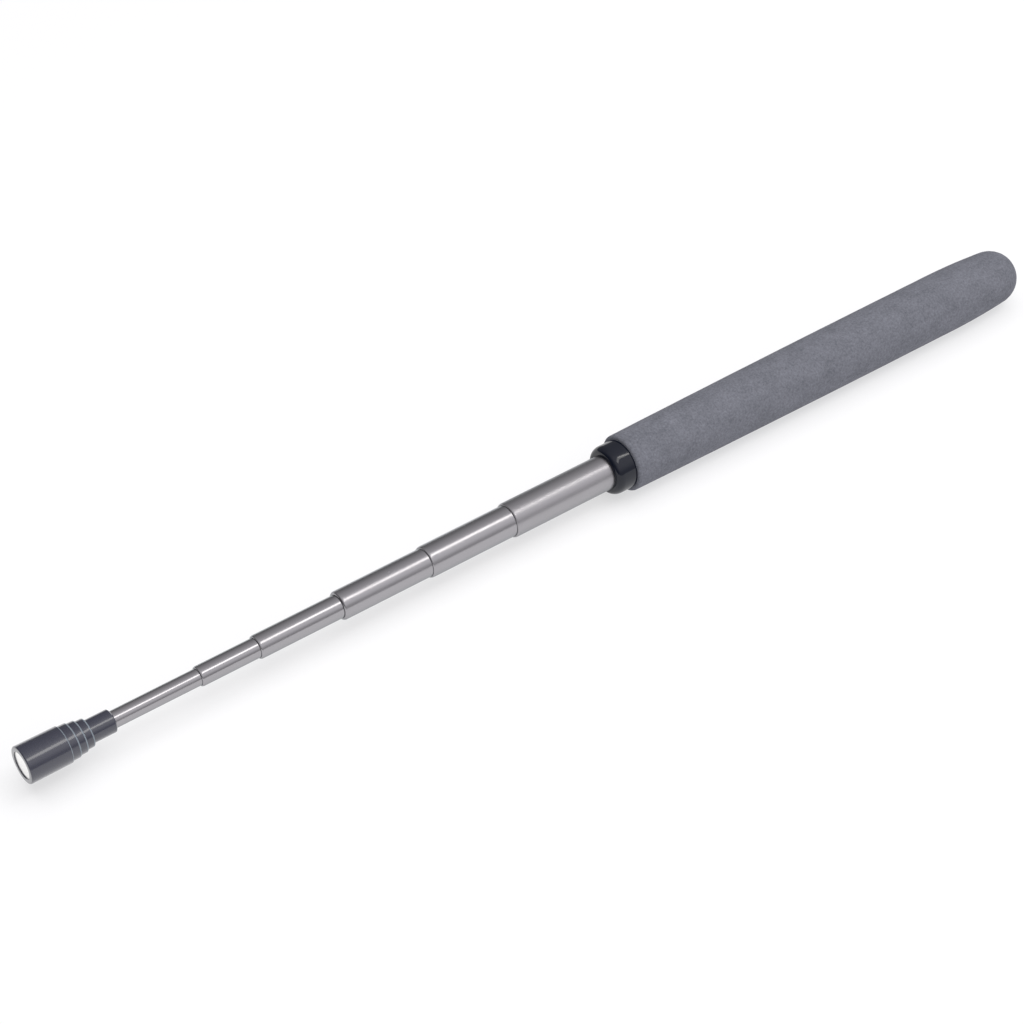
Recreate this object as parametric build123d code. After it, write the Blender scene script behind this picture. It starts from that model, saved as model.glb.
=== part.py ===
from build123d import *
import math
import os

# Telescoping magnetic pick-up tool, partly extended. Millimetres.
# Every piece is turned about the tool's long axis. Distances named x run along that axis from the
# head's front rim, x = 0, back to the closed end of the grip. At the end the tool is laid on its grip: the axis
# stays along X with the magnet towards -X, and z = 0 is the surface that the grip's widest ring touches.

# ---- driving dimensions ----
TUBE_DIAMETERS = (10.89, 9.82, 8.77, 7.15, 6.05, 5.0)  # sections 1 to 6, the largest first
EXPOSED_LENGTHS = (36.33, 30.02, 30.26, 27.46, 18.79, 27.03)  # how much of each section shows
NECK_END = 27.25  # where section 6 leaves the head
SECTION_LENGTH = 118.0
TUBE_WALL = 0.25
GRIP_LENGTH = 166.9

# ---- fits and small features of the sections ----
RUNNING_GAP = 0.03  # radial, on both faces of a friction sleeve
MOUTH_GAP = 0.05  # radial, between a rolled mouth and the tube that passes through it
BOND_GAP = 0.02  # radial, the glue line of a tube set in a moulding
MOUTH_LIP = 0.10  # width of the flat ring at the very front of a mouth
MOUTH_DEPTH = 0.45
ROLL_LENGTH = 1.1  # how far back a rolled mouth reaches full diameter
STOP_HEIGHT = 0.15
STOP_WIDTH = 0.5
BEAD_HALF_WIDTH = 0.4
SLEEVE_LENGTH = 9.0
SLEEVE_END_GAP = 0.05
SLEEVE_SLOT = 0.8

# ---- head ----
MAGNET_RADIUS = 4.0
MAGNET_LENGTH = 8.0
MAGNET_FACE = 0.25  # how far the working face lies behind the rim
CUP_RADIUS = 4.6
CUP_FRONT = 0.85  # the rim's lip closes over the front of the cup
CUP_BASE = 1.2
FLANGE_THICKNESS = 1.2
STUD_END = 23.0
RIM_ROUND = 0.4
SHELL_FRONT_RADIUS = 5.55
SHELL_REAR_RADIUS = 5.45
SHELL_REAR = 12.65
EDGE_ROUND = 0.3
RING_ENDS = (15.25, 17.55, 19.9)
RING_RADII = (5.05, 4.66, 4.17)
RING_ROUND = 0.22  # drop of a ring at its rear edge
RING_BULGE = 0.04
NECK_RADIUS = 3.4
NECK_CHAMFER = 0.35

# ---- handle ----
HANDLE_TUBE_RADIUS = 6.3
HANDLE_TUBE_WALL = 0.5
HANDLE_TUBE_LENGTH = 152.0
COLLAR_RADIUS = 7.8
COLLAR_FACE_RADIUS = 6.1
COLLAR_LIP = 1.4
COLLAR_NOSE = 2.5
COLLAR_EXPOSED = 6.8
COLLAR_SEAT_RADIUS = 7.4  # the narrower stretch that the foam grips
COLLAR_SEATED = 6.0
SPIGOT_LENGTH = 12.0
PLUG_BODY = 6.0
PLUG_ROUND = 2.5
GRIP_FRONT_RADIUS = 9.05
GRIP_MID_RADIUS = 9.53
GRIP_MID = 47.0  # behind the grip's front face
GRIP_FULL_RADIUS = 9.94
GRIP_FULL = 130.0
GRIP_WAIST_RADIUS = 9.72
GRIP_WAIST = 147.0
GRIP_REAR_RADIUS = 9.01
GRIP_TAPER = 4.3  # degrees, how much the barrel closes in where the dome starts
GRIP_DOME = 8.15  # length of the closed end
GRIP_SHOULDER = 6.4  # radius of the closed end's shoulder, which runs into a flatter cap
GRIP_EDGE_ROUND = 0.9

# ---- worked out from those ----
MOUTHS = []  # x of each section's front end; section 6 counts from the end of the head's neck
front = NECK_END
for exposed in reversed(EXPOSED_LENGTHS):
    MOUTHS.insert(0, front)
    front += exposed
COLLAR_FRONT = front
GRIP_START = COLLAR_FRONT + COLLAR_EXPOSED
GRIP_END = GRIP_START + GRIP_LENGTH
DOME_START = GRIP_END - GRIP_DOME
HANDLE_TUBE_START = COLLAR_FRONT + COLLAR_LIP
HANDLE_TUBE_END = HANDLE_TUBE_START + HANDLE_TUBE_LENGTH
HANDLE_BORE = HANDLE_TUBE_RADIUS - HANDLE_TUBE_WALL
COLLAR_REAR = GRIP_START + COLLAR_SEATED
MAGNET_REAR = MAGNET_FACE + MAGNET_LENGTH
CUP_REAR = MAGNET_REAR + CUP_BASE
FLANGE_REAR = CUP_REAR + FLANGE_THICKNESS
TUBE_RADII = [diameter / 2 for diameter in TUBE_DIAMETERS]
TIP_TUBE_RADIUS = TUBE_RADII[-1]


def turned(*edges):
    """The solid swept by a closed outline of edges, given as (x, radius), about the X axis."""
    return revolve(make_face(edges), Axis.X, 360)


def turned_steps(*points):
    """A turned solid whose outline is straight between its points."""
    return turned(*Polyline(*points, close=True).edges())


def quarter(centre, along, out, start_angle=0):
    """A quarter of an ellipse about centre, from start_angle on by 90 degrees; 0 is towards the grip."""
    return EllipticalCenterArc(centre, along, out, start_angle=start_angle, arc_size=90)


# ---- telescoping sections ----
def sleeve_span(rear):
    """Front and rear of the friction sleeve that sits between the bead and the stop of a section."""
    sleeve_rear = rear - STOP_WIDTH - SLEEVE_END_GAP
    return sleeve_rear - SLEEVE_LENGTH, sleeve_rear


def section_rear_outline(start, radius, rear):
    """The outside of a section from start back to its rear, with its bead and stop, and its end face."""
    bead_rear = sleeve_span(rear)[0] - SLEEVE_END_GAP
    bead_top = bead_rear - BEAD_HALF_WIDTH
    bead_front = bead_top - BEAD_HALF_WIDTH
    stop_front = rear - STOP_WIDTH
    bead = ThreePointArc((bead_front, radius), (bead_top, radius + STOP_HEIGHT), (bead_rear, radius))
    end = Polyline(
        (bead_rear, radius),
        (stop_front, radius),
        (stop_front, radius + STOP_HEIGHT),
        (rear, radius + STOP_HEIGHT),
        (rear, radius - TUBE_WALL),
    )
    return [Line((start, radius), (bead_front, radius)), bead, *end.edges()]


def section_tube(mouth, radius, inner_radius):
    """A section with a rolled mouth that closes round the next smaller tube."""
    lip = inner_radius + MOUTH_GAP
    roll_end = mouth + ROLL_LENGTH
    bore = radius - TUBE_WALL
    roll = quarter((roll_end, lip + MOUTH_LIP), ROLL_LENGTH, radius - lip - MOUTH_LIP, 90)
    rear = mouth + SECTION_LENGTH
    inside = Polyline(
        (rear, bore),
        (roll_end + TUBE_WALL, bore),
        (mouth + MOUTH_DEPTH, lip),
        (mouth, lip),
        (mouth, lip + MOUTH_LIP),
    )
    return turned(roll, *section_rear_outline(roll_end, radius, rear), *inside.edges())


def tip_tube():
    """Section 6: a plain tube that starts inside the head, against the stud's flange."""
    rear = NECK_END + SECTION_LENGTH
    bore = TIP_TUBE_RADIUS - TUBE_WALL
    inside = Polyline((rear, bore), (FLANGE_REAR, bore), (FLANGE_REAR, TIP_TUBE_RADIUS))
    return turned(*section_rear_outline(FLANGE_REAR, TIP_TUBE_RADIUS, rear), *inside.edges())


def friction_sleeve(mouth, radius, outer_bore):
    """A split sleeve on the rear of a section, dragging on the bore of the next larger tube."""
    start, end = sleeve_span(mouth + SECTION_LENGTH)
    inside = radius + RUNNING_GAP
    outside = outer_bore - RUNNING_GAP
    ring = turned_steps((start, inside), (end, inside), (end, outside), (start, outside))
    slot = Box(2 * SLEEVE_LENGTH, SLEEVE_SLOT, 2 * outside, align=(Align.CENTER, Align.CENTER, Align.MIN))
    return ring - Pos((start + end) / 2, 0, 0) * slot


# ---- head ----
def magnet():
    return turned_steps(
        (MAGNET_FACE, 0),
        (MAGNET_REAR, 0),
        (MAGNET_REAR, MAGNET_RADIUS),
        (MAGNET_FACE, MAGNET_RADIUS),
    )


def pole_cup():
    """A thin steel cup round the magnet's side and back."""
    return turned_steps(
        (MAGNET_REAR, 0),
        (CUP_REAR, 0),
        (CUP_REAR, CUP_RADIUS),
        (CUP_FRONT, CUP_RADIUS),
        (CUP_FRONT, MAGNET_RADIUS),
        (MAGNET_REAR, MAGNET_RADIUS),
    )


def head_stud():
    """A flange behind the pole cup with a shank that fills the front of section 6."""
    shank = TIP_TUBE_RADIUS - TUBE_WALL
    return turned_steps(
        (CUP_REAR, 0),
        (STUD_END, 0),
        (STUD_END, shank),
        (FLANGE_REAR, shank),
        (FLANGE_REAR, CUP_RADIUS),
        (CUP_REAR, CUP_RADIUS),
    )


def ring_outline(start, end, radius):
    """One raised ring of the head: a low bulge that rounds off at its rear edge."""
    edge = end - EDGE_ROUND
    bulge = ThreePointArc((start, radius), ((start + edge) / 2, radius + RING_BULGE), (edge, radius))
    rounding = quarter((edge, radius - RING_ROUND), EDGE_ROUND, RING_ROUND)
    return [bulge, rounding]


def head_shell():
    """The moulded head: a lip round the magnet, a rounded rim, barrel, three stepped rings and the neck."""
    lip = MAGNET_RADIUS + BOND_GAP
    rim_inner = SHELL_FRONT_RADIUS - RIM_ROUND
    edge = SHELL_REAR - EDGE_ROUND
    edge_base = SHELL_REAR_RADIUS - EDGE_ROUND
    tube_bore = TIP_TUBE_RADIUS + BOND_GAP
    outline = [
        Line((0, lip), (0, rim_inner)),
        quarter((RIM_ROUND, rim_inner), RIM_ROUND, RIM_ROUND, 90),
        Line((RIM_ROUND, SHELL_FRONT_RADIUS), (edge, SHELL_REAR_RADIUS)),
        quarter((edge, edge_base), EDGE_ROUND, EDGE_ROUND),
    ]
    start, base = SHELL_REAR, edge_base
    for end, radius in zip(RING_ENDS, RING_RADII):
        outline.append(Line((start, base), (start, radius)))
        outline += ring_outline(start, end, radius)
        start, base = end, radius - RING_ROUND
    neck = Polyline(
        (start, base),
        (start, NECK_RADIUS),
        (NECK_END - NECK_CHAMFER, NECK_RADIUS),
        (NECK_END, NECK_RADIUS - NECK_CHAMFER),
        (NECK_END, tube_bore),
        (FLANGE_REAR, tube_bore),
        (FLANGE_REAR, CUP_RADIUS),
        (CUP_FRONT, CUP_RADIUS),
        (CUP_FRONT, lip),
        (0, lip),
    )
    return turned(*outline, *neck.edges())


# ---- handle ----
def handle_tube():
    return turned_steps(
        (HANDLE_TUBE_START, HANDLE_BORE),
        (HANDLE_TUBE_END, HANDLE_BORE),
        (HANDLE_TUBE_END, HANDLE_TUBE_RADIUS),
        (HANDLE_TUBE_START, HANDLE_TUBE_RADIUS),
    )


def collar():
    """The black collar pressed on the front of the handle tube; its front lip guides section 1."""
    lip = TUBE_RADII[0] + MOUTH_GAP
    seat = HANDLE_TUBE_RADIUS + BOND_GAP
    nose_end = COLLAR_FRONT + COLLAR_NOSE
    nose = quarter((nose_end, COLLAR_FACE_RADIUS), COLLAR_NOSE, COLLAR_RADIUS - COLLAR_FACE_RADIUS, 90)
    rest = Polyline(
        (nose_end, COLLAR_RADIUS),
        (GRIP_START, COLLAR_RADIUS),
        (GRIP_START, COLLAR_SEAT_RADIUS),
        (COLLAR_REAR, COLLAR_SEAT_RADIUS),
        (COLLAR_REAR, seat),
        (HANDLE_TUBE_START, seat),
        (HANDLE_TUBE_START, lip),
        (COLLAR_FRONT, lip),
        (COLLAR_FRONT, COLLAR_FACE_RADIUS),
    )
    return turned(nose, *rest.edges())


def end_plug():
    """A plug pressed into the rear of the handle tube, with a rounded body that backs the foam."""
    body_end = HANDLE_TUBE_END + PLUG_BODY
    round_start = body_end - PLUG_ROUND
    flat = HANDLE_TUBE_RADIUS - PLUG_ROUND
    rounding = quarter((round_start, flat), PLUG_ROUND, PLUG_ROUND)
    rest = Polyline(
        (body_end, flat),
        (body_end, 0),
        (HANDLE_TUBE_END - SPIGOT_LENGTH, 0),
        (HANDLE_TUBE_END - SPIGOT_LENGTH, HANDLE_BORE),
        (HANDLE_TUBE_END, HANDLE_BORE),
        (HANDLE_TUBE_END, HANDLE_TUBE_RADIUS),
        (round_start, HANDLE_TUBE_RADIUS),
    )
    return turned(rounding, *rest.edges())


def grip_dome():
    """The closed end's outline: a shoulder arc, tangent to the barrel, that meets a flatter cap without a corner."""
    taper = math.radians(GRIP_TAPER)
    centre_x = DOME_START - GRIP_SHOULDER * math.sin(taper)
    offset = GRIP_REAR_RADIUS - GRIP_SHOULDER * math.cos(taper)
    reach = GRIP_END - centre_x
    cap_radius = (reach**2 + offset**2 - GRIP_SHOULDER**2) / (2 * (reach - GRIP_SHOULDER))
    cap_centre = GRIP_END - cap_radius
    meeting = math.degrees(math.atan2(offset, centre_x - cap_centre))
    turn = 90 - GRIP_TAPER - meeting
    shoulder = CenterArc((centre_x, offset), GRIP_SHOULDER, start_angle=meeting, arc_size=turn)
    cap = CenterArc((cap_centre, 0), cap_radius, start_angle=0, arc_size=meeting)
    return [shoulder, cap]


def foam_grip():
    """The foam grip: a long barrel, thickest behind its middle, closed by a flattened dome."""
    shoulder = GRIP_START + GRIP_EDGE_ROUND
    edge_radius = GRIP_FRONT_RADIUS - GRIP_EDGE_ROUND
    full = (GRIP_START + GRIP_FULL, GRIP_FULL_RADIUS)
    plug_end = HANDLE_TUBE_END + PLUG_BODY
    outside = [
        Line((GRIP_START, COLLAR_SEAT_RADIUS), (GRIP_START, edge_radius)),
        quarter((shoulder, edge_radius), GRIP_EDGE_ROUND, GRIP_EDGE_ROUND, 90),
        ThreePointArc((shoulder, GRIP_FRONT_RADIUS), (GRIP_START + GRIP_MID, GRIP_MID_RADIUS), full),
        ThreePointArc(full, (GRIP_START + GRIP_WAIST, GRIP_WAIST_RADIUS), (DOME_START, GRIP_REAR_RADIUS)),
        *grip_dome(),
    ]
    plug_flat = HANDLE_TUBE_RADIUS - PLUG_ROUND
    round_start = plug_end - PLUG_ROUND
    inside = [
        Line((GRIP_END, 0), (plug_end, 0)),
        Line((plug_end, 0), (plug_end, plug_flat)),
        quarter((round_start, plug_flat), PLUG_ROUND, PLUG_ROUND),
        Line((round_start, HANDLE_TUBE_RADIUS), (COLLAR_REAR, HANDLE_TUBE_RADIUS)),
        Line((COLLAR_REAR, HANDLE_TUBE_RADIUS), (COLLAR_REAR, COLLAR_SEAT_RADIUS)),
        Line((COLLAR_REAR, COLLAR_SEAT_RADIUS), (GRIP_START, COLLAR_SEAT_RADIUS)),
    ]
    return turned(*outside, *inside)


# ---- the whole tool ----
parts = {
    "magnet": magnet(),
    "pole_cup": pole_cup(),
    "head_stud": head_stud(),
    "head_shell": head_shell(),
    "tube_6": tip_tube(),
    "handle_tube": handle_tube(),
    "collar": collar(),
    "end_plug": end_plug(),
    "foam_grip": foam_grip(),
}
for index, (mouth, radius) in enumerate(zip(MOUTHS, TUBE_RADII)):
    outer_bore = HANDLE_BORE if index == 0 else TUBE_RADII[index - 1] - TUBE_WALL
    parts[f"friction_sleeve_{index + 1}"] = friction_sleeve(mouth, radius, outer_bore)
    if index + 1 < len(TUBE_RADII):
        parts[f"tube_{index + 1}"] = section_tube(mouth, radius, TUBE_RADII[index + 1])

# The origin is under the middle of the tool, on the surface that the grip lies on.
laid_down = Pos(-GRIP_END / 2, 0, parts["foam_grip"].bounding_box().max.Z)
os.makedirs("parts", exist_ok=True)
for node, solid in parts.items():
    placed = laid_down * solid
    placed.label = node
    export_step(placed, f"parts/{node}.step")
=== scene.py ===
import math
import bmesh
import bpy
from mathutils import Matrix, Vector, noise


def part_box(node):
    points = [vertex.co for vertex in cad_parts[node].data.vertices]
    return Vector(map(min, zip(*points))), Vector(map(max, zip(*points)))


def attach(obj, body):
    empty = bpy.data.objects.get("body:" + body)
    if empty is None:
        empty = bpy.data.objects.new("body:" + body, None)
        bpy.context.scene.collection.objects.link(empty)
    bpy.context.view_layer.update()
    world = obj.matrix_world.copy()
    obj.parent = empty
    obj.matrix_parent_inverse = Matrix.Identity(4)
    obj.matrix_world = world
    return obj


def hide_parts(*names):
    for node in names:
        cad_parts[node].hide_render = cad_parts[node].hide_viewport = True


# Telescoping magnetic pick-up tool on a pale studio floor. Metres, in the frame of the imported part.
# Every visible piece is turned about the tool's axis, finer than the CAD mesh that it stands for.
MM = 0.001

# ---- camera: seen from above, in front and from the magnet's end ----
VIEW_AZIMUTH = math.radians(-37.8)
VIEW_ELEVATION = math.radians(40.5)
VIEW_DISTANCE = 0.7217
AIM_FROM_RIM = 0.1636
LENS_MM = 86.6
SENSOR_MM = 36.0
SHIFT_X = -0.0028
SHIFT_Y = 0.0051
CLIP_START = 0.01
CLIP_END = 60.0

# ---- mesh fineness ----
SEGMENTS = 128
ARC_STEP = math.radians(9)
ARC_MIN_STEPS = 3
SHARP_ANGLE = math.radians(35)
ON_AXIS = 1e-9  # a smaller radius than this is a single point on the axis

# ---- head ----
CUP_RADIUS = 4.6 * MM
CUP_FRONT = 0.85 * MM
MAGNET_EDGE = 0.08 * MM
RIM_ROUND = 0.4 * MM
SHELL_REAR = 12.65 * MM
SHELL_TAPER = 0.1 * MM
EDGE_ROUND = 0.3 * MM
# how wide the pale band on each rear edge of the head is: a painted highlight
PAINTED_HIGHLIGHT_WIDTH = 0.4 * MM
RING_ENDS = (15.25 * MM, 17.55 * MM, 19.9 * MM)
RING_RADII = (5.05 * MM, 4.66 * MM, 4.17 * MM)
RING_DROP = 0.22 * MM
RING_BULGE = 0.04 * MM
NECK_RADIUS = 3.4 * MM
NECK_CHAMFER = 0.35 * MM
BOND_GAP = 0.02 * MM
BORE_STEP = 2.0 * MM  # the wide bore ends this far in front of the barrel's rear edge

# ---- sections ----
SECTION_COUNT = 6
STOP_HEIGHT = 0.15 * MM  # how far the rear stop stands out, which sets a section's CAD box
TUBE_WALL = 0.25 * MM
MOUTH_GAP = 0.05 * MM
MOUTH_LIP = 0.10 * MM
MOUTH_DEPTH = 0.45 * MM
ROLL_LENGTH = 0.8 * MM
STOP_WIDTH = 0.5 * MM

# ---- handle ----
COLLAR_NOSE = 2.5 * MM
COLLAR_FACE_RADIUS = 6.1 * MM
COLLAR_EXPOSED = 6.8 * MM
COLLAR_SEAT_RADIUS = 7.4 * MM
COLLAR_LIP = 1.4 * MM
GRIP_EDGE_ROUND = 0.9 * MM
GRIP_FRONT_RADIUS = 9.05 * MM
GRIP_MID = 47.0 * MM  # behind the grip's front face
GRIP_MID_RADIUS = 9.53 * MM
GRIP_FULL = 130.0 * MM
GRIP_FULL_RADIUS = 9.94 * MM
GRIP_WAIST = 147.0 * MM
GRIP_WAIST_RADIUS = 9.72 * MM
GRIP_REAR_RADIUS = 9.01 * MM
GRIP_TAPER = 4.3  # degrees, where the dome starts
GRIP_DOME = 8.15 * MM
GRIP_SHOULDER = 6.4 * MM
GRIP_STEP = 0.9 * MM
GRIP_DENT = 0.05 * MM  # how uneven the foam's skin is
GRIP_DENT_SIZE = 9.0 * MM
SKIN_FROM = 1.2  # times the bore: foam nearer to the axis than this is left smooth

# ---- colours and finishes ----
STEEL = (0.385, 0.375, 0.39)
STEEL_EDGE = (0.72, 0.76, 0.76, 1)
SECTION_ROUGHNESS = (0.34, 0.24, 0.24, 0.19, 0.16, 0.19)  # sections 1 to 6
NICKEL = (0.96, 0.95, 0.93)
PLASTIC_IOR = 1.58
SKIN_ROUGHNESS = 0.12  # the clear skin of a moulding
HEAD_PLASTIC = (0.012, 0.014, 0.034)
HEAD_ROUGHNESS = 0.25
# a pale plastic on the head's rear edge roundings, standing in for the light they catch: a painted highlight
PAINTED_HIGHLIGHT_PLASTIC = (0.19, 0.225, 0.26)
PAINTED_HIGHLIGHT_ROUGHNESS = 0.3
COLLAR_PLASTIC = (0.002, 0.004, 0.012)
COLLAR_ROUGHNESS = 0.1
COLLAR_IOR = 1.48
FOAM_DARK = (0.107, 0.112, 0.13)
FOAM_LIGHT = (0.225, 0.23, 0.265)
GRAIN_SHARE = 0.7  # of the foam's tone, the rest being clouds
PLAIN_STEEL = (0.42, 0.42, 0.43)
BRASS = (0.72, 0.52, 0.2)
PLUG_PLASTIC = (0.03, 0.03, 0.03)

# ---- textures: cells per metre, along X, Y and Z where they differ ----
DRAW_LINES = (40, 5000, 5000)
HANDLING_MARKS = (90, 400, 400)
SCUFFS = 2500
MOULD_RIPPLE = 220
MOULD_DUST = 5000
FOAM_GRAIN = 1500
FOAM_CLOUDS = (150, 250, 250)
FOAM_PORES = 1400
METAL_GRAIN = 3000
PLUG_GRAIN = 1500
NOISE_LOW = 0.3  # nearly all of a noise texture lies between these two
NOISE_HIGH = 0.7

# ---- studio ----
FLOOR_SIZE = 30.0
FLOOR_COLOUR = (0.4, 0.4, 0.405)
FLOOR_GLOW = 0.58  # light that the floor gives off itself, so that shadows on it stay faint
# brightness of the room by height in degrees, from in front of the tool (0) over it and down behind it (180)
ROOM = (
    (0, 0.45),
    (12, 0.48),
    (24, 0.76),
    (36, 0.97),
    (60, 1.0),
    (84, 0.85),
    (96, 0.66),
    (121, 0.5),
    (153, 0.29),
    (180, 0.2),
)
ROOM_TINT = (1.0, 0.99, 1.02)
# the room's dim end, beyond the magnet: how far a direction points to +X, and the room's share of light there
DIM_FROM = -0.35
DIM_TO = -0.85
DIM_LIGHT = 0.2
FILL_HEIGHT = 1.4
FILL_SIZE = 1.6
FILL_WATTS = 11.0
STRIP_DISTANCE = 0.8
STRIP_HEIGHT_ANGLE = math.radians(67.7)
STRIP_CENTRE = 0.21
STRIP_LENGTH = 0.6
STRIP_WIDTH = 0.18
STRIP_SLANT = math.radians(27)
STRIP_COLOUR = (1.0, 0.985, 0.94)
STRIP_RADIANCE = 2.3
# a short bright lamp near the far end of the strip, past the grip, for a small highlight on the collar
LAMP_CENTRE = 0.45
LAMP_DROP = 0.04  # how far the lamp sits below the strip's line, towards the front
LAMP_LENGTH = 0.03
LAMP_RADIANCE = 8.0


# ---- outlines: lists of (x, radius) ----
def arc(centre, along, out, start, end):
    """Points on an ellipse about centre, from the start angle to the end angle in degrees."""
    start, end = math.radians(start), math.radians(end)
    steps = max(ARC_MIN_STEPS, round(abs(end - start) / ARC_STEP))
    angles = [start + (end - start) * i / steps for i in range(steps + 1)]
    return [(centre[0] + along * math.cos(a), centre[1] + out * math.sin(a)) for a in angles]


def turn(name, outline, axis_height):
    """A solid turned about the tool's axis from a closed outline of (x, radius) points."""
    bm = bmesh.new()
    angles = [2 * math.pi * i / SEGMENTS for i in range(SEGMENTS)]
    rings = []
    for x, radius in outline:
        if radius < ON_AXIS:
            rings.append([bm.verts.new((x, 0, axis_height))])
            continue
        circle = [(radius * math.sin(a), axis_height + radius * math.cos(a)) for a in angles]
        rings.append([bm.verts.new((x, y, z)) for y, z in circle])
    for ring, after in zip(rings, rings[1:] + rings[:1]):
        if len(ring) == len(after) == 1:
            continue
        for i in range(SEGMENTS):
            j = (i + 1) % SEGMENTS
            corners = [ring[i % len(ring)], after[i % len(after)], after[j % len(after)], ring[j % len(ring)]]
            bm.faces.new(list(dict.fromkeys(corners)))
    bmesh.ops.recalc_face_normals(bm, faces=bm.faces)
    for edge in bm.edges:
        edge.smooth = edge.calc_face_angle(0) < SHARP_ANGLE
    for face in bm.faces:
        face.smooth = True
    mesh = bpy.data.meshes.new(name)
    bm.to_mesh(mesh)
    bm.free()
    return link(bpy.data.objects.new(name, mesh))


def link(obj):
    bpy.context.scene.collection.objects.link(obj)
    return obj


# ---- head ----
def magnet_outline(low, high):
    """The magnet, with its front edge softly rounded."""
    radius = (high.z - low.z) / 2
    front = arc((low.x + MAGNET_EDGE, radius - MAGNET_EDGE), MAGNET_EDGE, MAGNET_EDGE, 180, 90)
    return [(low.x, 0), *front, (high.x, radius), (high.x, 0)]


def shell_outline(low, high, lip, bore):
    """The head's shell: a lip round the magnet, rounded rim, barrel, three rings and a neck."""
    front_radius = (high.z - low.z) / 2
    rear_radius = front_radius - SHELL_TAPER
    outline = [(low.x, lip)]
    outline += arc((low.x + RIM_ROUND, front_radius - RIM_ROUND), RIM_ROUND, RIM_ROUND, 180, 90)
    rear = low.x + SHELL_REAR
    outline += arc((rear - EDGE_ROUND, rear_radius - EDGE_ROUND), EDGE_ROUND, EDGE_ROUND, 90, 0)
    start = rear
    for end, radius in zip(RING_ENDS, RING_RADII):
        edge = low.x + end - EDGE_ROUND
        middle, half = (start + edge) / 2, (edge - start) / 2
        outline += arc((middle, radius), half, RING_BULGE, 180, 90)[:-1]
        outline += arc((middle, radius), half, RING_BULGE, 90, 0)[:-1]
        outline += arc((edge, radius - RING_DROP), EDGE_ROUND, RING_DROP, 90, 0)
        start = low.x + end
    outline += [
        (start, NECK_RADIUS),
        (high.x - NECK_CHAMFER, NECK_RADIUS),
        (high.x, NECK_RADIUS - NECK_CHAMFER),
        (high.x, bore),
        (rear - BORE_STEP, bore),
        (rear - BORE_STEP, CUP_RADIUS),
        (low.x + CUP_FRONT, CUP_RADIUS),
        (low.x + CUP_FRONT, lip),
    ]
    return outline


# ---- sections ----
def section_radius(number):
    """The radius of a section's tube, inside the stop that sets its CAD box."""
    low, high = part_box(f"tube_{number}")
    return (high.z - low.z) / 2 - STOP_HEIGHT


def section_outline(low, high, inner_radius):
    """A section whose mouth closes round the next smaller one; None for that gives a plain tube."""
    radius = (high.z - low.z) / 2 - STOP_HEIGHT
    bore = radius - TUBE_WALL
    rear = [
        (high.x - STOP_WIDTH, radius),
        (high.x - STOP_WIDTH, radius + STOP_HEIGHT),
        (high.x, radius + STOP_HEIGHT),
        (high.x, bore),
    ]
    if inner_radius is None:
        return [(low.x, radius), *rear, (low.x, bore)]
    lip = inner_radius + MOUTH_GAP
    roll = arc((low.x + ROLL_LENGTH, lip + MOUTH_LIP), ROLL_LENGTH, radius - lip - MOUTH_LIP, 180, 90)
    inside = [(low.x + ROLL_LENGTH + TUBE_WALL, bore), (low.x + MOUTH_DEPTH, lip), (low.x, lip)]
    return [*roll, *rear, *inside]


# ---- handle ----
def collar_outline(low, high, lip, tube_radius):
    """The black collar: a rounded nose, a bare cylinder and a narrower seat inside the grip."""
    radius = (high.z - low.z) / 2
    seat_start = low.x + COLLAR_EXPOSED
    nose = arc((low.x + COLLAR_NOSE, COLLAR_FACE_RADIUS), COLLAR_NOSE, radius - COLLAR_FACE_RADIUS, 180, 90)
    return [
        *nose,
        (seat_start, radius),
        (seat_start, COLLAR_SEAT_RADIUS),
        (high.x, COLLAR_SEAT_RADIUS),
        (high.x, tube_radius),
        (low.x + COLLAR_LIP, tube_radius),
        (low.x + COLLAR_LIP, lip),
        (low.x, lip),
    ]


def bow(first, middle, last, steps):
    """Points on the circular arc through three points."""
    (x1, y1), (x2, y2), (x3, y3) = first, middle, last
    twice_area = 2 * (x1 * (y2 - y3) + x2 * (y3 - y1) + x3 * (y1 - y2))
    s1, s2, s3 = x1 * x1 + y1 * y1, x2 * x2 + y2 * y2, x3 * x3 + y3 * y3
    cx = (s1 * (y2 - y3) + s2 * (y3 - y1) + s3 * (y1 - y2)) / twice_area
    cy = (s1 * (x3 - x2) + s2 * (x1 - x3) + s3 * (x2 - x1)) / twice_area
    radius = math.hypot(x1 - cx, y1 - cy)
    start, end = math.atan2(y1 - cy, x1 - cx), math.atan2(y3 - cy, x3 - cx)
    angles = [start + (end - start) * i / steps for i in range(steps + 1)]
    return [(cx + radius * math.cos(a), cy + radius * math.sin(a)) for a in angles]


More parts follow.
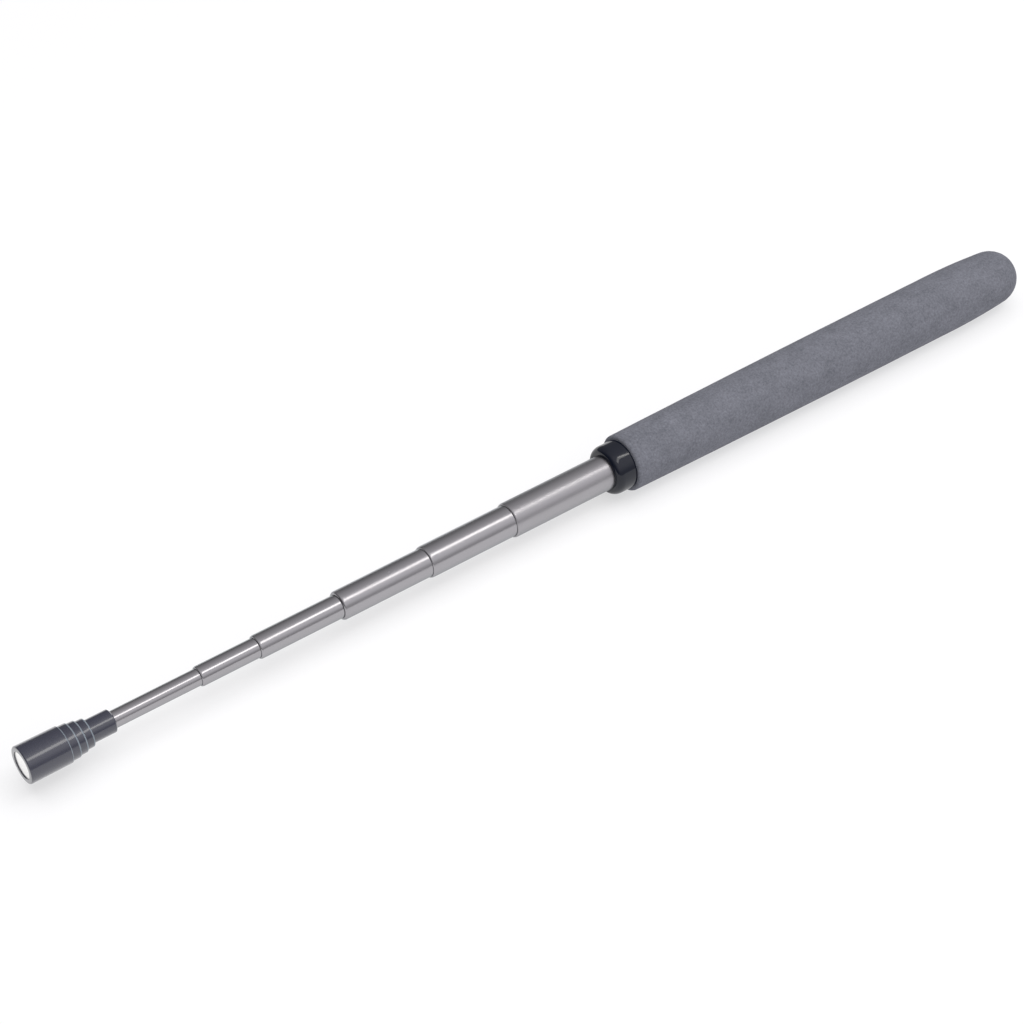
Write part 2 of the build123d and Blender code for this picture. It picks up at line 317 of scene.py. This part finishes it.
def grip_outline(low, high, seat_rear, tube_radius, plug_rear):
    """The foam grip: a rounded mouth, a long barrel in two bows, a domed end, and the bore round the tube."""
    shoulder = low.x + GRIP_EDGE_ROUND
    dome = high.x - GRIP_DOME
    full = (low.x + GRIP_FULL, GRIP_FULL_RADIUS)
    taper = math.radians(GRIP_TAPER)
    centre_x = dome - GRIP_SHOULDER * math.sin(taper)
    offset = GRIP_REAR_RADIUS - GRIP_SHOULDER * math.cos(taper)
    reach = high.x - centre_x
    cap = (reach**2 + offset**2 - GRIP_SHOULDER**2) / (2 * (reach - GRIP_SHOULDER))
    meeting = math.degrees(math.atan2(offset, cap - reach))
    mouth_edge = (shoulder, GRIP_FRONT_RADIUS - GRIP_EDGE_ROUND)
    front = (low.x + GRIP_MID, GRIP_MID_RADIUS)
    rear = (low.x + GRIP_WAIST, GRIP_WAIST_RADIUS)
    outline = [(low.x, COLLAR_SEAT_RADIUS)]
    outline += arc(mouth_edge, GRIP_EDGE_ROUND, GRIP_EDGE_ROUND, 180, 90)[:-1]
    outline += bow((shoulder, GRIP_FRONT_RADIUS), front, full, round(GRIP_FULL / GRIP_STEP))[:-1]
    outline += bow(full, rear, (dome, GRIP_REAR_RADIUS), round((dome - full[0]) / GRIP_STEP))[:-1]
    outline += arc((centre_x, offset), GRIP_SHOULDER, GRIP_SHOULDER, 90 - GRIP_TAPER, meeting)[:-1]
    outline += arc((high.x - cap, 0), cap, cap, meeting, 0)[:-1]
    outline += [(high.x, 0), (plug_rear, 0), (plug_rear, tube_radius), (seat_rear, tube_radius)]
    return outline + [(seat_rear, COLLAR_SEAT_RADIUS)]


def soften(grip, axis_height, bore):
    """Makes the foam's skin slightly uneven, inwards only, so that it stays in its CAD box."""
    for vertex in grip.data.vertices:
        across = Vector((0, vertex.co.y, vertex.co.z - axis_height))
        if across.length < bore * SKIN_FROM:
            continue
        depth = GRIP_DENT * (0.5 + 0.5 * noise.noise(vertex.co / GRIP_DENT_SIZE))
        vertex.co -= across.normalized() * depth


# ---- materials ----
def new_material(name, colour, metallic=0.0, roughness=0.5, **sockets):
    """A Principled material with its even values set on the shader's own sockets."""
    material = bpy.data.materials.new(name)
    material.use_nodes = True
    shader = material.node_tree.nodes["Principled BSDF"]
    shader.inputs["Base Color"].default_value = (*colour, 1)
    shader.inputs["Metallic"].default_value = metallic
    shader.inputs["Roughness"].default_value = roughness
    for socket, value in sockets.items():
        shader.inputs[socket.replace("_", " ")].default_value = value
    return material


def add(material, kind, **values):
    """A new node of a material or world, with some of its own settings and inputs set."""
    node = material.node_tree.nodes.new("ShaderNode" + kind)
    for key, value in values.items():
        if key in node.inputs:
            node.inputs[key].default_value = value
        else:
            setattr(node, key, value)
    return node


def wire(material, *pairs):
    """Links (node, output) to (node, input) for each pair."""
    for (source, output), (target, entry) in pairs:
        material.node_tree.links.new(source.outputs[output], target.inputs[entry])


def shader_of(material):
    return material.node_tree.nodes["Principled BSDF"]


def place(material, cells):
    """Object coordinates scaled to cells per metre, given for all axes or for each."""
    scale = cells if isinstance(cells, tuple) else (cells, cells, cells)
    coords = add(material, "TexCoord")
    mapping = add(material, "Mapping", Scale=scale)
    wire(material, ((coords, "Object"), (mapping, "Vector")))
    return mapping


def noise_at(material, cells, detail=2.0, roughness=0.5):
    """A noise texture over the object."""
    mapping = place(material, cells)
    texture = add(material, "TexNoise", Scale=1.0, Detail=detail, Roughness=roughness)
    wire(material, ((mapping, "Vector"), (texture, "Vector")))
    return texture


def spread(material, texture, low, high):
    """Maps the middle of a texture's values to the range from low to high."""
    ranged = add(material, "MapRange")
    ranged.inputs["From Min"].default_value = NOISE_LOW
    ranged.inputs["From Max"].default_value = NOISE_HIGH
    ranged.inputs["To Min"].default_value = low
    ranged.inputs["To Max"].default_value = high
    wire(material, ((texture, 0), (ranged, "Value")))
    return ranged


def bump(material, height, distance, strength=1.0, under=None):
    """A bump of a height texture, over another bump if one is given."""
    node = add(material, "Bump", Strength=strength, Distance=distance)
    wire(material, ((height, 0), (node, "Height")))
    if under is not None:
        wire(material, ((under, "Normal"), (node, "Normal")))
    wire(material, ((node, "Normal"), (shader_of(material), "Normal")))
    return node


def tint(material, factor, dark, light):
    """Base colour that runs between two colours as a texture's value does."""
    mix = add(material, "Mix", data_type="RGBA")
    mix.inputs["A"].default_value = (*dark, 1)
    mix.inputs["B"].default_value = (*light, 1)
    material.node_tree.links.new(factor.outputs[0], mix.inputs["Factor"])
    material.node_tree.links.new(mix.outputs["Result"], shader_of(material).inputs["Base Color"])


def polished_steel(number, roughness):
    """Drawn and polished stainless tube: fine lengthwise lines and faint handling marks."""
    material = new_material(f"polished_steel_{number}", STEEL, 1.0, roughness, Specular_Tint=STEEL_EDGE)
    lines = noise_at(material, DRAW_LINES, 4.0, 0.6)
    marks = noise_at(material, HANDLING_MARKS, 4.0, 0.6)
    rough = spread(material, marks, roughness * 0.85, roughness * 1.15)
    wire(material, ((rough, "Result"), (shader_of(material), "Roughness")))
    bump(material, lines, 0.006 * MM, 0.5)
    return material


def nickel_plate():
    """The magnet's plated face: bright, with a faint satin grain and small scuffs."""
    material = new_material("nickel", NICKEL, 1.0, 0.2)
    scuffs = noise_at(material, SCUFFS, 4.0, 0.6)
    rough = spread(material, scuffs, 0.16, 0.3)
    wire(material, ((rough, "Result"), (shader_of(material), "Roughness")))
    bump(material, scuffs, 0.004 * MM, 0.4)
    return material


def moulded_plastic(name, colour, roughness, ior=PLASTIC_IOR, coat=0.0):
    """A glossy moulding: the faint ripple and fine dust of a polished mould."""
    gloss = {"IOR": ior, "Coat_Weight": coat, "Coat_IOR": ior, "Coat_Roughness": SKIN_ROUGHNESS}
    material = new_material(name, colour, 0.0, roughness, **gloss)
    ripple = noise_at(material, MOULD_RIPPLE, 2.0)
    dust = noise_at(material, MOULD_DUST, 3.0)
    rough = spread(material, dust, roughness * 0.85, roughness * 1.2)
    wire(material, ((rough, "Result"), (shader_of(material), "Roughness")))
    bump(material, ripple, 0.01 * MM, 0.4)
    return material


def foam_rubber():
    """Closed-cell foam: a fine sanded grain with open pores, and faint cloudy variation."""
    material = new_material("foam", FOAM_LIGHT, 0.0, 0.9, Specular_IOR_Level=0.2)
    grain = noise_at(material, FOAM_GRAIN, 3.0, 0.7)
    clouds = noise_at(material, FOAM_CLOUDS, 3.0, 0.6)
    both = add(material, "Math", operation="MULTIPLY_ADD")
    both.inputs[1].default_value = GRAIN_SHARE
    share = add(material, "Math", operation="MULTIPLY")
    share.inputs[1].default_value = 1 - GRAIN_SHARE
    wire(material, ((grain, 0), (both, 0)), ((clouds, 0), (share, 0)), ((share, 0), (both, 2)))
    tint(material, spread(material, both, 0.0, 1.0), FOAM_DARK, FOAM_LIGHT)
    pores = add(material, "TexVoronoi", Scale=1.0)
    cells = place(material, FOAM_PORES)
    wire(material, ((cells, "Vector"), (pores, "Vector")))
    cell_bump = bump(material, pores, 0.1 * MM, 0.6)
    bump(material, grain, 0.12 * MM, 0.7, under=cell_bump)
    return material


def plain(name, colour, metallic, roughness, grain):
    """A hidden metal or plastic: even colour with a fine machined or moulded grain."""
    material = new_material(name, colour, metallic, roughness)
    texture = noise_at(material, grain, 3.0)
    rough = spread(material, texture, roughness * 0.8, roughness * 1.2)
    wire(material, ((rough, "Result"), (shader_of(material), "Roughness")))
    bump(material, texture, 0.01 * MM, 0.4)
    return material


def dress(obj, material):
    """Gives every face of a piece or CAD node one material."""
    obj.data.materials.clear()
    obj.data.materials.append(material)
    for polygon in obj.data.polygons:
        polygon.material_index = 0


def paint_edge_highlights(shell, front, material):
    """The rear edges of the head's barrel and rings get a pale material: a painted highlight where their
    rounded edges catch the light.
    """
    shell.data.materials.append(material)
    edges = [front + end for end in (SHELL_REAR, *RING_ENDS)]
    for polygon in shell.data.polygons:
        if any(edge - PAINTED_HIGHLIGHT_WIDTH < polygon.center.x < edge for edge in edges):
            polygon.material_index = 1


def finish_piece(obj, material, body, slot, *nodes):
    """Dresses a new piece, puts it on its body and hides the CAD nodes that it stands for."""
    dress(obj, material)
    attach(obj, body)
    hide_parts(*nodes)
    return obj


# ---- studio ----
def add_camera(aim):
    """A camera at the view's angle and distance, aimed at a point on the tool's axis."""
    camera = link(bpy.data.objects.new("camera", bpy.data.cameras.new("camera")))
    camera.data.lens = LENS_MM
    camera.data.sensor_width = SENSOR_MM
    camera.data.shift_x = SHIFT_X
    camera.data.shift_y = SHIFT_Y
    camera.data.clip_start = CLIP_START
    camera.data.clip_end = CLIP_END
    back = Vector(
        (
            math.sin(VIEW_AZIMUTH) * math.cos(VIEW_ELEVATION),
            -math.cos(VIEW_AZIMUTH) * math.cos(VIEW_ELEVATION),
            math.sin(VIEW_ELEVATION),
        )
    )
    camera.location = aim + back * VIEW_DISTANCE
    camera.rotation_euler = back.to_track_quat("Z", "Y").to_euler()
    bpy.context.scene.camera = camera


def add_floor():
    """A plain pale floor under the tool."""
    bm = bmesh.new()
    bmesh.ops.create_grid(bm, x_segments=1, y_segments=1, size=FLOOR_SIZE / 2)
    mesh = bpy.data.meshes.new("floor")
    bm.to_mesh(mesh)
    bm.free()
    floor = link(bpy.data.objects.new("floor", mesh))
    glow = {"Emission_Color": (1, 1, 1, 1), "Emission_Strength": FLOOR_GLOW}
    dress(floor, new_material("floor", FLOOR_COLOUR, 0.0, 0.9, **glow))


def add_room():
    """A soft studio room: brightest in front of and above the tool, dim beyond the magnet."""
    world = bpy.data.worlds.new("studio")
    bpy.context.scene.world = world
    world.use_nodes = True
    coords = add(world, "TexCoord")
    parts = add(world, "SeparateXYZ")
    flip = add(world, "Math", operation="MULTIPLY")
    flip.inputs[1].default_value = -1
    angle = add(world, "Math", operation="ARCTAN2")
    half_turns = add(world, "Math", operation="DIVIDE")
    half_turns.inputs[1].default_value = math.pi
    ramp = add(world, "ValToRGB")
    elements = ramp.color_ramp.elements
    while len(elements) < len(ROOM):
        elements.new(0.5)
    for element, (degrees, level) in zip(elements, ROOM):
        element.position = degrees / 180
        element.color = (*[level * channel for channel in ROOM_TINT], 1)
    dim = add(world, "MapRange")
    dim.inputs["From Min"].default_value = DIM_TO
    dim.inputs["From Max"].default_value = DIM_FROM
    dim.inputs["To Min"].default_value = DIM_LIGHT
    dim.inputs["To Max"].default_value = 1.0
    background = world.node_tree.nodes["Background"]
    wire(
        world,
        ((coords, "Generated"), (parts, 0)),
        ((parts, "Y"), (flip, 0)),
        ((parts, "Z"), (angle, 0)),
        ((flip, 0), (angle, 1)),
        ((angle, 0), (half_turns, 0)),
        ((half_turns, 0), (ramp, "Fac")),
        ((ramp, "Color"), (background, "Color")),
        ((parts, "X"), (dim, "Value")),
        ((dim, "Result"), (background, "Strength")),
    )


def add_fill(aim):
    """A large overhead softbox that lights the floor and foam but isn't mirrored in the metal."""
    light = bpy.data.lights.new("fill", "AREA")
    light.shape = "SQUARE"
    light.size = FILL_SIZE
    light.energy = FILL_WATTS
    fill = link(bpy.data.objects.new("fill", light))
    fill.location = aim + Vector((0, 0, FILL_HEIGHT))
    fill.visible_glossy = False


def add_strip(aim, name, centre_x, drop, length, radiance):
    """A softbox on a slanted line over the tool, which the tool mirrors as a bright line or spot."""
    light = bpy.data.lights.new(name, "AREA")
    light.shape = "RECTANGLE"
    light.size = length
    light.size_y = STRIP_WIDTH
    light.energy = radiance * math.pi * length * STRIP_WIDTH
    light.color = STRIP_COLOUR
    strip = link(bpy.data.objects.new(name, light))
    outward = Vector((0, -math.cos(STRIP_HEIGHT_ANGLE), math.sin(STRIP_HEIGHT_ANGLE)))
    upward = Vector((0, math.sin(STRIP_HEIGHT_ANGLE), math.cos(STRIP_HEIGHT_ANGLE)))
    along = Vector((1, 0, 0)) * math.cos(STRIP_SLANT) + upward * math.sin(STRIP_SLANT)
    across = outward.cross(along)
    centre = Vector((STRIP_CENTRE, 0, aim.z)) + outward * STRIP_DISTANCE
    centre += along * (centre_x - STRIP_CENTRE) / along.x - across * drop
    strip.matrix_world = Matrix.Translation(centre) @ Matrix((along, across, outward)).transposed().to_4x4()


# ---- the tool ----
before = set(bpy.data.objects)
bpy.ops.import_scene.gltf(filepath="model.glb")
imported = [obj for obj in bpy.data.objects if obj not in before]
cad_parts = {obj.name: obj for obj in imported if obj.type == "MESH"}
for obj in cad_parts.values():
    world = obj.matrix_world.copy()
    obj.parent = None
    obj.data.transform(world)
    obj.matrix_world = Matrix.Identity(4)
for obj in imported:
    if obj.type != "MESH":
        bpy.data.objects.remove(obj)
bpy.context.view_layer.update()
magnet_low, magnet_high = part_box("magnet")
shell_low, shell_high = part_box("head_shell")
axis_height = (magnet_low.z + magnet_high.z) / 2
aim = Vector((shell_low.x + AIM_FROM_RIM, 0, axis_height))

turned_steel = plain("plain_steel", PLAIN_STEEL, 1.0, 0.35, METAL_GRAIN)
brass = plain("sleeve_brass", BRASS, 1.0, 0.3, METAL_GRAIN)
plug_plastic = plain("plug_plastic", PLUG_PLASTIC, 0.0, 0.6, PLUG_GRAIN)
hidden = {
    "pole_cup": turned_steel,
    "head_stud": turned_steel,
    "handle_tube": turned_steel,
    "end_plug": plug_plastic,
}
for number in range(1, SECTION_COUNT + 1):
    hidden[f"friction_sleeve_{number}"] = brass
for node, material in hidden.items():
    dress(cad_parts[node], material)

for number in range(1, SECTION_COUNT + 1):
    low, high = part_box(f"tube_{number}")
    inner = section_radius(number + 1) if number < SECTION_COUNT else None
    tube = turn(f"polished_tube_{number}", section_outline(low, high, inner), axis_height)
    steel = polished_steel(number, SECTION_ROUGHNESS[number - 1])
    finish_piece(tube, steel, f"section_{number}", "polished_steel", f"tube_{number}")

plate = turn("magnet_disc", magnet_outline(magnet_low, magnet_high), axis_height)
finish_piece(plate, nickel_plate(), "section_6", "nickel", "magnet")

magnet_lip = (magnet_high.z - magnet_low.z) / 2 + BOND_GAP
neck_bore = section_radius(SECTION_COUNT) + BOND_GAP
shell = turn("ringed_head", shell_outline(shell_low, shell_high, magnet_lip, neck_bore), axis_height)
head_plastic = moulded_plastic("head_plastic", HEAD_PLASTIC, HEAD_ROUGHNESS, coat=1.0)
finish_piece(shell, head_plastic, "section_6", "head_plastic", "head_shell")
# pale bands on the rear edges of the barrel and rings: painted highlights
paint_edge_highlights(shell, shell_low.x, moulded_plastic("painted_edge_highlight", PAINTED_HIGHLIGHT_PLASTIC, PAINTED_HIGHLIGHT_ROUGHNESS))

collar_low, collar_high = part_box("collar")
tube_low, tube_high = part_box("handle_tube")
tube_radius = (tube_high.z - tube_low.z) / 2
collar_lip = section_radius(1) + MOUTH_GAP
collar_shape = collar_outline(collar_low, collar_high, collar_lip, tube_radius + BOND_GAP)
ferrule = turn("front_collar", collar_shape, axis_height)
collar_plastic = moulded_plastic("black_plastic", COLLAR_PLASTIC, COLLAR_ROUGHNESS, ior=COLLAR_IOR)
finish_piece(ferrule, collar_plastic, "handle", "black_plastic", "collar")

grip_low, grip_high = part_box("foam_grip")
plug_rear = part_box("end_plug")[1].x
grip_shape = grip_outline(grip_low, grip_high, collar_high.x, tube_radius, plug_rear)
grip = turn("grey_foam", grip_shape, axis_height)
soften(grip, axis_height, tube_radius)
finish_piece(grip, foam_rubber(), "handle", "foam", "foam_grip")

add_camera(aim)
add_floor()
add_room()
add_fill(aim)
add_strip(aim, "strip", STRIP_CENTRE, 0, STRIP_LENGTH, STRIP_RADIANCE)
add_strip(aim, "lamp", LAMP_CENTRE, LAMP_DROP, LAMP_LENGTH, LAMP_RADIANCE)
bpy.context.scene.view_settings.view_transform = "Standard"
